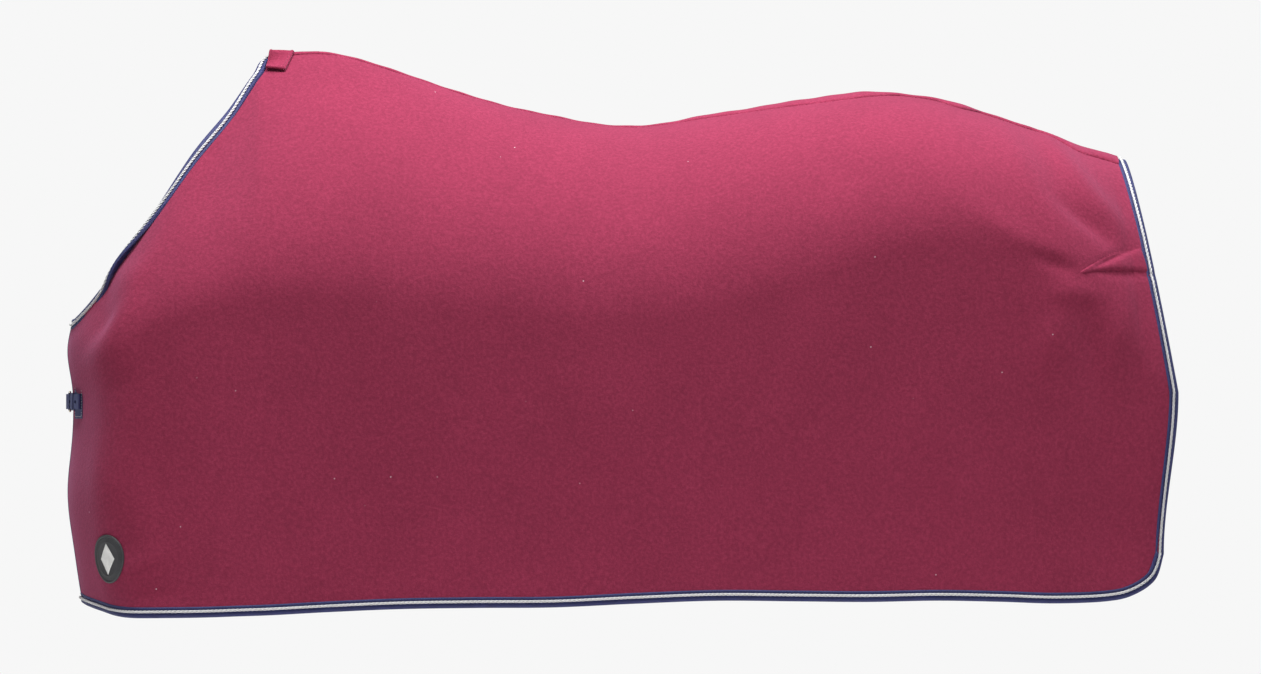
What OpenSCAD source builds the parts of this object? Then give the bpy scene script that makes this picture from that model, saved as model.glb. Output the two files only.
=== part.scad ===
// Fleece horse rug with bound edges, a spine seam, a chest buckle and two tail rings.
// +X points to the tail, +Z up, and the horse's near (left) side is -Y.
// The origin is on the horse's back, under the spine seam, where the rug hangs from.

/* [Rug] */
// Overall length, chest to buttock
rug_length = 1840; // [1500:10:2250]
// Height from the lowest hem to the top of the withers
rug_height = 950; // [780:10:1150]
// Width across the barrel
rug_width = 620; // [510:10:760]
// Thickness of the fleece
fleece_t = 4; // [2.5:0.1:6]
// Gap between the two bound fronts
front_gap = 12; // [6:0.5:30]

/* [Edge trim] */
// Width of the folded binding, seen from one side
binding_w = 16; // [12:0.5:22]
// Thickness of the binding tape
binding_t = 1; // [0.6:0.1:1.6]
// Diameter of the twisted cord sewn on the binding
cord_d = 5.5; // [4:0.1:7]
// Distance of the cord's middle from the outer edge
cord_in = 8.5; // [7.5:0.1:10]

/* [Seams and patches] */
// Width of the band over the spine seam, at the tail, where it is widest
spine_tape_w = 50; // [20:1:60]
// Thickness of the spine band at the tail
spine_tape_t = 5; // [2:0.1:6]
// Length of the patch over the withers, along the spine
patch_l = 42; // [35:1:60]
// Width of the patch over the withers, from side to side
patch_w = 92; // [80:1:120]
// Thickness of the patch
patch_t = 5; // [3:0.1:7]
// Length of the wedge let into each hip
gusset_l = 112; // [80:1:130]
// Height of the wedge at the rear edge
gusset_h = 46; // [30:1:60]
// Thickness of the wedge
gusset_t = 2; // [1:0.1:3]

/* [Badge] */
// Diameter of the moulded badge
badge_d = 80; // [60:1:90]
// Thickness of the badge
badge_t = 2.4; // [1.5:0.1:4]

/* [Chest buckle] */
// Width of the chest strap
strap_w = 25; // [20:1:32]
// Thickness of the strap webbing
strap_t = 2; // [1.5:0.1:2.4]
// Height of the strap above the hem line
strap_height = 354; // [300:2:400]
// Thickness of the buckle wire
wire_d = 3.6; // [3:0.1:4.5]
// Distance from the buckle's bar to its roller
buckle_l = 28; // [26:0.5:34]
// Height of the sewn tab that backs the buckle
tab_h = 56; // [50:1:70]

/* [Tail rings] */
// Height of the tail rings above the hem line
tail_ring_height = 460; // [420:5:500]
// Clear width inside a tail ring
tail_ring_w = 25; // [20:1:32]
// Thickness of the tail ring's wire
tail_wire_d = 3; // [2.5:0.1:4]

/* [Hidden] */

fleece = [0.50, 0.20, 0.31];
fleece_light = [0.58, 0.25, 0.37];
navy = [0.16, 0.18, 0.45];
white = [0.93, 0.93, 0.92];
grey = [0.20, 0.20, 0.22];
metal = [0.74, 0.70, 0.60];

// The pattern is drawn at one size and graded to the sizes above.
drawn = [1840, 620, 950];
grade = [rug_length / drawn.x, rug_width / drawn.y, rug_height / drawn.z];
back_height = 809 * grade.z - fleece_t; // the underside of the back above the hem line
chest_x = -906;
chest_r = 400; // the chest's roundness in plan
tag_y = front_gap / 2;

function chest(y) = chest_x + y * y / (2 * chest_r);

// Stations from the chest to the rear edge. Each has the edge at the top, the point where
// the cloth turns from lying on the horse to hanging, the hem, and how steep the turn is:
// 1 is a round back, and more is a sharper one, as over the withers.
STATIONS = [
    [[-903, 0, 489], [chest(0), 0, 400], [chest(0), 0, 22], 1],
    [[-896, 70, 493], [chest(85), 85, 400], [chest(85), 85, 18], 1],
    [[-868, 120, 527], [chest(155), 155, 405], [chest(155), 155, 11], 1.05],
    [[-820, 142, 592], [chest(212), 212, 425], [chest(212), 212, 4], 1.1],
    [[-764, 137, 676], [-812, 244, 450], [-810, 246, 0], 1.25],
    [[-706, 108, 765], [-750, 260, 480], [-750, 260, 0], 1.4],
    [[-650, 66, 834], [-682, 268, 505], [-685, 268, 1], 1.6],
    [[-610, 24, 892], [-622, 274, 520], [-628, 273, 3], 1.75],
    [[-582, 0, 924], [-572, 278, 525], [-572, 276, 5], 2.05],
    [[-480, 0, 931], [-480, 285, 520], [-480, 281, 10], 1.85],
    [[-363, 0, 898], [-363, 293, 510], [-363, 287, 15], 1.6],
    [[-240, 0, 857], [-240, 301, 500], [-240, 293, 17], 1.4],
    [[-110, 0, 826], [-110, 306, 490], [-110, 298, 18], 1.22],
    [[20, 0, 809], [20, 309, 485], [20, 301, 24], 1.12],
    [[155, 0, 828], [155, 310, 505], [155, 302, 29], 1.05],
    [[290, 0, 849], [290, 309, 545], [290, 300, 28], 1],
    [[405, 0, 863], [405, 305, 590], [405, 296, 27], 1],
    [[520, 0, 853], [520, 297, 615], [520, 287, 29], 1],
    [[625, 0, 822], [632, 283, 600], [625, 272, 27], 1],
    [[715, 0, 790], [742, 260, 545], [715, 249, 24], 1],
    [[783, 0, 767], [838, 233, 455], [800, 222, 27], 1],
    [[806, 0, 761], [872, 222, 403], [845, 213, 37], 1],
    [[823, 0, 756], [899, 212, 386], [881, 202, 62], 1],
    [[836, 0, 753], [919, 202, 370], [895, 193, 103], 1]];
LAST = len(STATIONS) - 1;
WITHERS = 8; // the station where the neck edge meets the spine
rear_lead = 0.85; // how slowly the cloth moves lengthwise as it turns down
// Between these stations the round back gives way to the flare of the neck edge, which
// hangs from its trim
NECK_FLARE = [5.5, 9.5];

columns = 2; // grid columns between stations
turn_rows = 8; // grid rows where the cloth turns down
drop_rows = 6; // grid rows where it hangs
TURN = turn_rows / (turn_rows + drop_rows);

function graded(p) = [p.x * grade.x, p.y * grade.y, p.z * grade.z - back_height];
function bend(a, b, c, d, t) = // a smooth curve through b and c
    0.5 * (2 * b + (c - a) * t + (2 * a - 5 * b + 4 * c - d) * t * t
        + (3 * b - a - 3 * c + d) * t * t * t);
function station(i) = STATIONS[max(0, min(LAST, i))];
function blended(u, k) = // entry k of the station at place u
    let (i = min(LAST - 1, floor(u)))
    bend(station(i - 1)[k], station(i)[k], station(i + 1)[k], station(i + 2)[k], u - i);
function along(u, k) = let (p = blended(u, k)) graded([p.x, max(0, p.y), p.z]);

// A point of the near side's outer face; u counts stations and v runs from 0 at the top
// edge to 1 at the hem. The gap at the chest closes over the first two stations.
function face(u, v) =
    let (top = along(u, 0), turn = along(u, 1), hem = along(u, 2),
        a = min(1, v / TURN) * 90,
        down = 1 - cos(a),
        k = max(0, min(1, (NECK_FLARE[1] - u) / (NECK_FLARE[1] - NECK_FLARE[0]))),
        flare = k * k * (3 - 2 * k),
        out = pow(sin(a), blended(u, 3)) * (1 - flare)
            + down * (1.1 + down * (0.8 - 0.9 * down)) * flare,
        lead = pow(down, rear_lead) * (1 - flare) + down * (1.8 - 0.8 * down) * flare,
        t = max(0, (v - TURN) / (1 - TURN)),
        s = t * t * (3 - 2 * t),
        on = [top.x + (turn.x - top.x) * lead, top.y + (turn.y - top.y) * out,
            top.z + (turn.z - top.z) * down],
        p = t == 0 ? on : [turn.x + (hem.x - turn.x) * s, turn.y + (hem.y - turn.y) * s,
            turn.z + (hem.z - turn.z) * t])
    [p.x, -p.y - tag_y * max(0, 1 - u), p.z];

function unit(a) = a / norm(a);
step = 0.01;
function du(u, v) = face(min(LAST, u + step), v) - face(max(0, u - step), v);
function dv(u, v) = face(u, min(1, v + step)) - face(u, max(0, v - step));
function flat(a) = unit([a.x, 0, a.z]);
function normal(u, v) = // straight up and down the middle along the spine
    let (n = unit(cross(dv(u, v), du(u, v)))) v == 0 && u >= WITHERS ? flat(n) : n;
function lifted(u, v, by) = face(u, v) + normal(u, v) * by;
// A point near (u, v), a to the rear and b up, lifted off the cloth
function beside(u, v, a, b, by) =
    lifted(u + a * 2 * step / norm(du(u, v)), v - b * 2 * step / norm(dv(u, v)), by);
// The place down a column where the cloth is at this height above the hem line
function v_at(u, height, low = 0, high = 1, n = 18) =
    n == 0 ? (low + high) / 2
    : face(u, (low + high) / 2).z > height - back_height
        ? v_at(u, height, (low + high) / 2, high, n - 1)
        : v_at(u, height, low, (low + high) / 2, n - 1);

// The place where the cloth is at this x and this height above the hem line
function u_at(x, v, low = 0, high = LAST, n = 16) =
    n == 0 ? (low + high) / 2
    : face((low + high) / 2, v).x < x ? u_at(x, v, (low + high) / 2, high, n - 1)
        : u_at(x, v, low, (low + high) / 2, n - 1);
function place(x, height, v = 0.5, n = 5) =
    let (u = u_at(x, v), w = v_at(u, height))
    n == 0 ? [u, w] : place(x, height, w, n - 1);

// A closed solid between two grids of points, top being on the outer side
module quilt(top, bottom) {
    rows = len(top);
    cols = len(top[0]);
    n = rows * cols;
    rim = concat([for (j = [0:cols - 1]) j],
        [for (i = [1:rows - 1]) i * cols + cols - 1],
        [for (j = [cols - 2:-1:0]) (rows - 1) * cols + j],
        [for (i = [rows - 2:-1:1]) i * cols]);
    function tiles(at, flip) = [for (i = [0:rows - 2], j = [0:cols - 2])
        let (a = at + i * cols + j, b = a + 1, c = a + cols, d = c + 1)
        each (flip ? [[a, c, b], [b, c, d]] : [[a, b, c], [b, d, c]])];
    walls = [for (k = [0:len(rim) - 1])
        let (a = rim[k], b = rim[(k + 1) % len(rim)])
        each [[a, n + a, b], [b, n + a, n + b]]];
    polyhedron(concat([for (r = top) each r], [for (r = bottom) each r]),
        concat(tiles(0, false), tiles(n, true), walls));
}

// A profile of [inward, outward] points carried along frames of [place, inward, outward]
module carried(profile, frames) {
    m = len(profile);
    last = len(frames) - 1;
    points = [for (f = frames, q = profile) f[0] + f[1] * q.x + f[2] * q.y];
    sides = [for (i = [0:last - 1], k = [0:m - 1])
        let (a = i * m + k, b = i * m + (k + 1) % m)
        each [[a, b, a + m], [b, b + m, a + m]]];
    polyhedron(points, concat(sides, [[for (k = [m - 1:-1:0]) k]],
        [[for (k = [0:m - 1]) last * m + k]]));
}

// Frames along an edge given as [u, v] places, walked with the cloth on the left as
// seen from outside
function edge(places) =
    let (p = [for (q = places) face(q.x, q.y)], n = len(places) - 1)
    [for (i = [0:n])
        let (run = unit(p[min(n, i + 1)] - p[max(0, i - 1)]),
            out = normal(places[i].x, places[i].y))
        [p[i], unit(cross(out, run)), out]];

// Frames of an edge over both sides of the spine, from the near side's, which are walked
// up to the spine or away from it
function flipped(a) = [a.x, -a.y, a.z];
function crossing(near, up) =
    let (n = len(near) - 1,
        off = [for (i = [n:-1:0]) [for (a = near[i]) flipped(a)]],
        spine = up ? near[n] : near[0],
        middle = [[spine[0], flat(spine[1]), flat(spine[2])]])
    up ? concat([for (i = [0:n - 1]) near[i]], middle, [for (i = [1:n]) off[i]])
        : concat([for (i = [0:n - 1]) off[i]], middle, [for (i = [1:n]) near[i]]);

rows_all = turn_rows + drop_rows;
neck_places = [for (i = [WITHERS * columns:-1:0]) [i / columns, 0]];
front_places = [for (j = [0:rows_all]) [0, j / rows_all]];
hem_places = [for (i = [0:LAST * columns]) [i / columns, 1]];
tail_places = [for (j = [rows_all:-1:0]) [LAST, j / rows_all]];

bind_out = binding_t;
bind_in = fleece_t + binding_t;
fold = 1; // how far the cloth stays short of the fold
binding_profile = [[binding_w, bind_out], [binding_w, 0], [-fold, 0],
    [-fold, -fleece_t], [binding_w, -fleece_t], [binding_w, -bind_in],
    [-fold - binding_t, -bind_in], [-fold - binding_t, bind_out]];
cord_profile = [for (k = [0:7]) [cord_in + cord_d / 2 * cos(-45 * k),
    bind_out + cord_d / 2 + cord_d / 2 * sin(-45 * k)]];

module near_panel() {
    grid = [for (j = [0:rows_all]) [for (i = [0:LAST * columns]) [i / columns, j / rows_all]]];
    quilt([for (r = grid) [for (q = r) face(q.x, q.y)]],
        [for (r = grid) [for (q = r) lifted(q.x, q.y, -fleece_t)]]);
}

module off_side() mirror([0, 1, 0]) children();

module near_side_panel() color(fleece) near_panel();
module off_side_panel() color(fleece) off_side() near_panel();

// The wedge: its tip points forward, and it widens to the rear edge
gusset_tip_height = 566 * grade.z;
gusset_steps = 6;
tip_share = 0.04; // the blunt tip's share of the wedge's height
function gusset_place(along_it, across_it) = // from 0 to 1, and from -1 to 1
    let (height = gusset_tip_height + gusset_h / 2 * along_it
            + across_it * gusset_h / 2 * max(tip_share, along_it),
        rear_x = face(LAST, v_at(LAST, height)).x - binding_w + 1)
    place(rear_x - gusset_l * (1 - along_it), height);
module gusset() {
    rows = [for (b = [1:-0.5:-1]) [for (k = [0:gusset_steps])
        gusset_place(k / gusset_steps, b)]];
    quilt([for (r = rows) [for (q = r) lifted(q.x, q.y, gusset_t)]],
        [for (r = rows) [for (q = r) face(q.x, q.y)]]);
}
module near_hip_gusset() color(fleece_light) gusset();
module off_hip_gusset() color(fleece_light) off_side() gusset();

// The place down a column at this distance from its top
function v_down(u, far, low = 0, high = 0.5, n = 14) =
    n == 0 ? (low + high) / 2
    : norm(face(u, (low + high) / 2) - face(u, 0)) < far
        ? v_down(u, far, (low + high) / 2, high, n - 1)
        : v_down(u, far, low, (low + high) / 2, n - 1);
// A point of a band laid over the spine, across being the distance to either side of it
function ridge(u, across, by) =
    let (p = lifted(u, across == 0 ? 0 : v_down(u, abs(across)), by))
    across > 0 ? [p.x, -p.y, p.z] : p;
// A band over the spine; its ends are given as [half its width, its thickness]
module ridge_band(u_from, u_to, fore, rear, steps) {
    function spot(k, w, share) =
        let (size = fore + (rear - fore) * k / steps)
        ridge(u_from + (u_to - u_from) * k / steps, w * size[0], share * size[1]);
    ws = [1, 0.5, 0, -0.5, -1];
    quilt([for (w = ws) [for (k = [0:steps]) spot(k, w, 1)]],
        [for (w = ws) [for (k = [0:steps]) spot(k, w, 0)]]);
}
tape_fore = [5, 2]; // the spine band behind the withers, narrower and thinner
patch_ends = WITHERS + patch_l / (102 * grade.x);
module spine_tape() color(fleece_light)
    ridge_band(patch_ends + 0.02, LAST - 1.2, tape_fore,
        [spine_tape_w / 2, spine_tape_t], 26);
module wither_patch() color(fleece_light)
    ridge_band(WITHERS + 0.001, patch_ends, [patch_w / 2, patch_t],
        [patch_w / 2, patch_t], 4);

module trim(profile, places) carried(profile, edge(places));
module neck_binding() color(navy) carried(binding_profile, crossing(edge(neck_places), false));
module neck_cord() color(white) carried(cord_profile, crossing(edge(neck_places), false));
module tail_binding() color(navy) carried(binding_profile, crossing(edge(tail_places), true));
module tail_cord() color(white) carried(cord_profile, crossing(edge(tail_places), true));
module near_hem_binding() color(navy) trim(binding_profile, hem_places);
module off_hem_binding() color(navy) off_side() trim(binding_profile, hem_places);
module near_hem_cord() color(white) trim(cord_profile, hem_places);
module off_hem_cord() color(white) off_side() trim(cord_profile, hem_places);
module near_front_binding() color(navy) trim(binding_profile, front_places);
module off_front_binding() color(navy) off_side() trim(binding_profile, front_places);

// The badge bends with the cloth, so it is built from rings of points on it
badge_u = 3.12;
badge_height = 95;
module badge_ring(r_in, r_out, from, to) {
    v = v_at(badge_u, badge_height);
    rs = [r_in, (r_in + r_out) / 2, r_out];
    function spot(r, k, by) = beside(badge_u, v, r * cos(k * 11.25), r * sin(k * 11.25), by);
    n = 32;
    ring = [for (by = [to, from], r = rs, k = [0:n - 1]) spot(r, k, by)];
    function band(a, b) = [for (k = [0:n - 1])
        let (p = a * n + k, q = a * n + (k + 1) % n, r = b * n + k, s = b * n + (k + 1) % n)
        each [[p, q, r], [q, s, r]]];
    polyhedron(ring, concat(band(0, 1), band(1, 2), band(2, 5), band(5, 4), band(4, 3),
        band(3, 0)));
}
rim_w = 4;
diamond_w = 30;
module badge_disc() color(grey) badge_ring(0.5, badge_d / 2 - rim_w - 0.1, 0, badge_t);
module badge_rim() color(grey) badge_ring(badge_d / 2 - rim_w, badge_d / 2, 0, badge_t + 1);
module badge_diamond() color(white) {
    v = v_at(badge_u, badge_height);
    rows = [for (b = [-1:0.5:1]) [for (a = [-1:0.5:1])
        [(a - b) * diamond_w / 3, (a + b) * diamond_w / 2.2]]];
    quilt([for (r = rows) [for (q = r) beside(badge_u, v, q.x, -q.y, badge_t + 0.8)]],
        [for (r = rows) [for (q = r) beside(badge_u, v, q.x, -q.y, badge_t)]]);
}

// Chest closure. Straps are ribbons in plan, raised to their width. Places in plan are
// [y, out], out being the distance in front of the chest.
strap_z = strap_height * grade.z - back_height;
clear = 0.3; // between pieces that move past each other
bar_y = -buckle_l / 2;
roller_wall = 1;
roller_r = wire_d / 2 + 0.08 + roller_wall;
under = binding_t + 0.3; // the strap's height off the cloth under the roller
bar_out = under + strap_t + clear + 0.2 + roller_r;
loop_r = wire_d / 2 + 0.1 + strap_t;
over = bar_out + loop_r + clear;
roller_y = bar_y + buckle_l;

function chest_point(q) =
    [(chest_x + q.x * q.x / (2 * chest_r * pow(grade.y, 2))) * grade.x - q.y, q.x];
function ribbon(path, t) = // outline of a strip of thickness t whose middle is the path
    let (n = len(path) - 1,
        side = [for (i = [0:n]) let (d = unit(path[min(n, i + 1)] - path[max(0, i - 1)]))
            [-d.y, d.x] * t / 2])
    concat([for (i = [0:n]) path[i] + side[i]], [for (i = [n:-1:0]) path[i] - side[i]]);
module strip(path, t, width) // path in [y, out]
    translate([0, 0, strap_z - width / 2])
    linear_extrude(width)
    polygon(ribbon([for (q = path) chest_point(q)], t));
module at_plan(q, height) // puts a piece that stands on Z at a place in plan
    translate([chest_point(q).x, chest_point(q).y, strap_z - height / 2]) children();

backing_t = 1.6;
module near_tab_backing() color(navy)
    strip([for (y = [-60:-12:-120]) [y, backing_t / 2]], backing_t, tab_h);
module off_strap_backing() color(navy)
    strip([for (y = [60:12:120]) [y, backing_t / 2]], backing_t, tab_h);

legs_out = backing_t + 0.1; // underside of the two stitched layers that carry the buckle
slot_h = wire_d + 3; // clear height for the prong through the loop
module near_buckle_loop() color(navy) difference() {
    union() {
        strip([for (y = [bar_y:-10:-115]) [y, legs_out + strap_t]], 2 * strap_t, strap_w);
        at_plan([bar_y, bar_out], strap_w) cylinder(r = loop_r, h = strap_w, $fn = 48);
    }
    at_plan([bar_y, bar_out], strap_w + 2)
        cylinder(d = wire_d + 0.2, h = strap_w + 2, $fn = 48);
    at_plan([bar_y + 2, bar_out], slot_h)
        translate([-15, -10, 0]) cube([30, 20, slot_h]);
}

rail_out = strap_w / 2 + 1.5 + wire_d / 2; // from the strap's middle to a side rail
frame_turn = 3; // radius of the wire's middle at a corner
module rod(length, d) cylinder(d = d, h = length, $fn = 32);
module side_wire() { // half of the frame: the bar's upper half, a rail, the far bar's half
    rise = rail_out - frame_turn;
    for (x = [0, buckle_l]) translate([x, 0, 0]) rotate([-90, 0, 0]) rod(rise, wire_d);
    translate([frame_turn, rail_out, 0]) rotate([0, 90, 0])
        rod(buckle_l - 2 * frame_turn, wire_d);
    for (corner = [[frame_turn, 90], [buckle_l - frame_turn, 0]])
        translate([corner[0], rise, 0]) rotate([0, 0, corner[1]])
        rotate_extrude(angle = 90, $fn = 48) translate([frame_turn, 0])
        circle(d = wire_d, $fn = 32);
}
module buckle_frame() color(metal)
    translate([chest_point([bar_y, bar_out]).x, bar_y, strap_z]) rotate([90, 0, 90]) {
        side_wire();
        mirror([0, 1, 0]) side_wire();
    }
roller_h = strap_w + 1.4;
module buckle_roller() color(metal) at_plan([roller_y, bar_out], roller_h) difference() {
    rod(roller_h, 2 * roller_r);
    translate([0, 0, -1]) rod(roller_h + 2, wire_d + 0.16);
}
prong_d = 3;
module buckle_prong() color(metal) {
    eye_r = wire_d / 2 + 0.1;
    rise = roller_r + prong_d / 2 + 0.3;
    reach = buckle_l + 3;
    at_plan([bar_y, bar_out], prong_d) difference() {
        union() {
            cylinder(r = eye_r + 1.4, h = prong_d, $fn = 32);
            rotate([0, 0, atan2(rise, buckle_l)]) translate([0, eye_r + 0.4, prong_d / 2])
                rotate([-90, 0, 0]) rod(reach - eye_r, prong_d);
        }
        translate([0, 0, -1]) cylinder(r = eye_r, h = prong_d + 2, $fn = 32);
    }
}

// The strap comes from the off side under the roller, climbs through the buckle,
// and lies over the bar and through both keepers.
keeper_wall = 1;
slide_clear = 0.5; // under the strap, so that the keeper slides along its curve
lying = legs_out + 2 * strap_t + keeper_wall + clear + slide_clear + strap_t / 2;
billet_path = concat([for (y = [115:-12:31]) [y, backing_t + 0.1 + strap_t / 2]],
    [[22, under + strap_t / 2], [roller_y - 7, under + strap_t / 2],
        [roller_y - 9, under + strap_t / 2 + 1], [bar_y + 13, over + strap_t / 2 - 1],
        [bar_y + 11, over + strap_t / 2], [bar_y - 6, over + strap_t / 2],
        [bar_y - 18, lying + 1.2], [bar_y - 24, lying]],
    [for (y = [bar_y - 32:-10:-130]) [y, lying]]);
hole_l = 11;
hole_w = 5;
module billet_strap() color(navy) difference() {
    strip(billet_path, strap_t, strap_w);
    at_plan([bar_y + 15, bar_out + 2.5], 0) rotate([0, 0, 50]) slot_cutter();
    for (y = [-55:-25:-105]) at_plan([y, lying], 0)
        rotate([0, 0, y / 400 * 57]) slot_cutter();
    // the pointed tip
    for (side = [-1, 1]) at_plan([-138, lying], 0)
        rotate([side * 45, 0, 0]) translate([-10, -strap_w, -strap_w / 2 - 1])
        cube([30, strap_w * 0.92, strap_w + 2]);
}
module slot_cutter() // an oblong hole, long way along the strap
    rotate([0, 90, 0]) translate([0, 0, -5]) linear_extrude(10) {
        square([hole_w, hole_l - hole_w], center = true);
        for (e = [-1, 1]) translate([0, e * (hole_l - hole_w) / 2]) circle(d = hole_w, $fn = 24);
    }

// A keeper is a flat band round the strap, from low to high off the cloth inside
module keeper(y, low, high, width) {
    turn = atan2(y / (chest_r * pow(grade.y, 2)) * grade.x, 1);
    tall = strap_w + 2;
    at_plan([y, 0], 0) rotate([0, 0, -turn]) difference() {
        translate([-high - keeper_wall, -width / 2, -tall / 2 - keeper_wall])
            cube([high - low + 2 * keeper_wall, width, tall + 2 * keeper_wall]);
        translate([-high, -width, -tall / 2]) cube([high - low, 2 * width, tall]);
    }
}
keeper_top = lying + strap_t / 2 + clear + 0.1;
keeper_y = -85;
module fixed_keeper() color(navy) keeper(-48, legs_out, keeper_top, 10);
module sliding_keeper() color(navy)
    keeper(keeper_y, lying - strap_t / 2 - slide_clear, keeper_top, 12);

// Tail rings hang on webbing loops sewn inside the rear edge.
loop_w = 19;
loop_t = 1.4;
tail_loop_r = tail_wire_d / 2 + 0.1 + loop_t;
tail_ring_in = 9; // from the rear edge to the ring's bar
legs_in = 22; // from the rear edge to the middle of the loop's stitched legs
tail_height = tail_ring_height * grade.z;
tail_rear = face(LAST, v_at(LAST, tail_height)).x;
tail_sewn = place(tail_rear - legs_in, tail_height);
tail_fore = place(tail_rear - legs_in - 8, tail_height);
tail_out = normal(tail_sewn.x, tail_sewn.y);
tail_run = unit(cross(face(tail_fore.x, tail_fore.y) - face(tail_sewn.x, tail_sewn.y),
    tail_out));
tail_inward = cross(tail_out, tail_run);
tail_bar = face(tail_sewn.x, tail_sewn.y) - tail_inward * (legs_in - tail_ring_in)
    - tail_out * (bind_in + tail_loop_r + 1.6);
module at_tail() {
    a = tail_inward;
    b = tail_out;
    c = tail_run;
    multmatrix([[a.x, b.x, c.x, tail_bar.x], [a.y, b.y, c.y, tail_bar.y],
        [a.z, b.z, c.z, tail_bar.z], [0, 0, 0, 1]]) children();
}
module tail_loop() at_tail() difference() {
    translate([0, 0, -loop_w / 2]) linear_extrude(loop_w) {
        circle(r = tail_loop_r, $fn = 48);
        translate([0, tail_loop_r - 2 * loop_t]) square([30, 2 * loop_t]);
    }
    translate([0, 0, -loop_w]) cylinder(d = tail_wire_d + 0.2, h = 2 * loop_w, $fn = 48);
}
ring_lean = 40; // how far the ring points inwards at rest
module tail_ring() at_tail() rotate([0, 0, ring_lean]) {
    half = tail_ring_w / 2 + tail_wire_d / 2;
    translate([0, 0, -half]) rod(2 * half, tail_wire_d);
    rotate([90, 0, 0]) rotate([0, 0, 90]) rotate_extrude(angle = 180, $fn = 64)
        translate([half, 0]) circle(d = tail_wire_d, $fn = 24);
    for (e = [-half, half]) translate([0, 0, e]) sphere(d = tail_wire_d, $fn = 24);
}
module near_tail_loop() color(navy) tail_loop();
module off_tail_loop() color(navy) off_side() tail_loop();
module near_tail_ring() color(metal) tail_ring();
module off_tail_ring() color(metal) off_side() tail_ring();

near_side_panel();
off_side_panel();
near_hip_gusset();
off_hip_gusset();
spine_tape();
wither_patch();
neck_binding();
tail_binding();
near_hem_binding();
off_hem_binding();
near_front_binding();
off_front_binding();
neck_cord();
tail_cord();
near_hem_cord();
off_hem_cord();
badge_disc();
badge_rim();
badge_diamond();
near_tab_backing();
near_buckle_loop();
buckle_frame();
buckle_prong();
buckle_roller();
fixed_keeper();
sliding_keeper();
off_strap_backing();
billet_strap();
near_tail_loop();
off_tail_loop();
near_tail_ring();
off_tail_ring();
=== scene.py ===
import math

import bmesh
import bpy
import numpy as np
from mathutils import Matrix, Vector


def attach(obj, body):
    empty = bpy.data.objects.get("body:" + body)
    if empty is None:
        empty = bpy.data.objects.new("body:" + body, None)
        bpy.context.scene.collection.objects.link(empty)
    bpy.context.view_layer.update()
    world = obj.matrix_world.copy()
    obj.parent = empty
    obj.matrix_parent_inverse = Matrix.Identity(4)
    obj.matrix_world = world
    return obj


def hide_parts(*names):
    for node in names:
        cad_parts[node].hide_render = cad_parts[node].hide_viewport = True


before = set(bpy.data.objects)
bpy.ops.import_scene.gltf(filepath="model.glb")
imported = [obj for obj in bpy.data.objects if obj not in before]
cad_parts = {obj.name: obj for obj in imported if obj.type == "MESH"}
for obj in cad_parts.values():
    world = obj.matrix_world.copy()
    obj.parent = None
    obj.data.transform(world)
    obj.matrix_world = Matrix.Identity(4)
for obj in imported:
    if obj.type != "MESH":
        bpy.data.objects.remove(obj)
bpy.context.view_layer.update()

MM = 0.001


# Camera, a little below the middle of the rug's near side, far off with a long lens
CAMERA_X = 0.0165
CAMERA_Z = -0.344
camera_data = bpy.data.cameras.new("side_view")
camera_data.lens = 689
camera_data.sensor_width = 36
camera_data.clip_end = 120
camera = bpy.data.objects.new("side_view", camera_data)
bpy.context.collection.objects.link(camera)
camera.location = (CAMERA_X, -40, CAMERA_Z)
camera.rotation_euler = (math.radians(90), 0, 0)
bpy.context.scene.camera = camera


# The rug's pattern: stations from the chest to the rear edge. Each has the edge at the
# top, the point where the cloth turns to hang, the hem, and how steep the turn is.
CHEST_X = -906
CHEST_ROUND = 400
FRONT_GAP = 12
BACK = 805
FLEECE = 4 * MM


def chest(y):
    return CHEST_X + y * y / (2 * CHEST_ROUND)


STATIONS = [
    [[-903, 0, 489], [chest(0), 0, 400], [chest(0), 0, 22], 1],
    [[-896, 70, 493], [chest(85), 85, 400], [chest(85), 85, 18], 1],
    [[-868, 120, 527], [chest(155), 155, 405], [chest(155), 155, 11], 1.05],
    [[-820, 142, 592], [chest(212), 212, 425], [chest(212), 212, 4], 1.1],
    [[-764, 137, 676], [-812, 244, 450], [-810, 246, 0], 1.25],
    [[-706, 108, 765], [-750, 260, 480], [-750, 260, 0], 1.4],
    [[-650, 66, 834], [-682, 268, 505], [-685, 268, 1], 1.6],
    [[-610, 24, 892], [-622, 274, 520], [-628, 273, 3], 1.75],
    [[-582, 0, 924], [-572, 278, 525], [-572, 276, 5], 2.05],
    [[-480, 0, 931], [-480, 285, 520], [-480, 281, 10], 1.85],
    [[-363, 0, 898], [-363, 293, 510], [-363, 287, 15], 1.6],
    [[-240, 0, 857], [-240, 301, 500], [-240, 293, 17], 1.4],
    [[-110, 0, 826], [-110, 306, 490], [-110, 298, 18], 1.22],
    [[20, 0, 809], [20, 309, 485], [20, 301, 24], 1.12],
    [[155, 0, 828], [155, 310, 505], [155, 302, 29], 1.05],
    [[290, 0, 849], [290, 309, 545], [290, 300, 28], 1],
    [[405, 0, 863], [405, 305, 590], [405, 296, 27], 1],
    [[520, 0, 853], [520, 297, 615], [520, 287, 29], 1],
    [[625, 0, 822], [632, 283, 600], [625, 272, 27], 1],
    [[715, 0, 790], [742, 260, 545], [715, 249, 24], 1],
    [[783, 0, 767], [838, 233, 455], [800, 222, 27], 1],
    [[806, 0, 761], [872, 222, 403], [845, 213, 37], 1],
    [[823, 0, 756], [899, 212, 386], [881, 202, 62], 1],
    [[836, 0, 753], [919, 202, 370], [895, 193, 103], 1],
]
LAST = len(STATIONS) - 1
WITHERS = 8
TURN = 8 / 14
REAR_LEAD = 0.85  # how slowly the cloth moves lengthwise as it turns down
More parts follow.
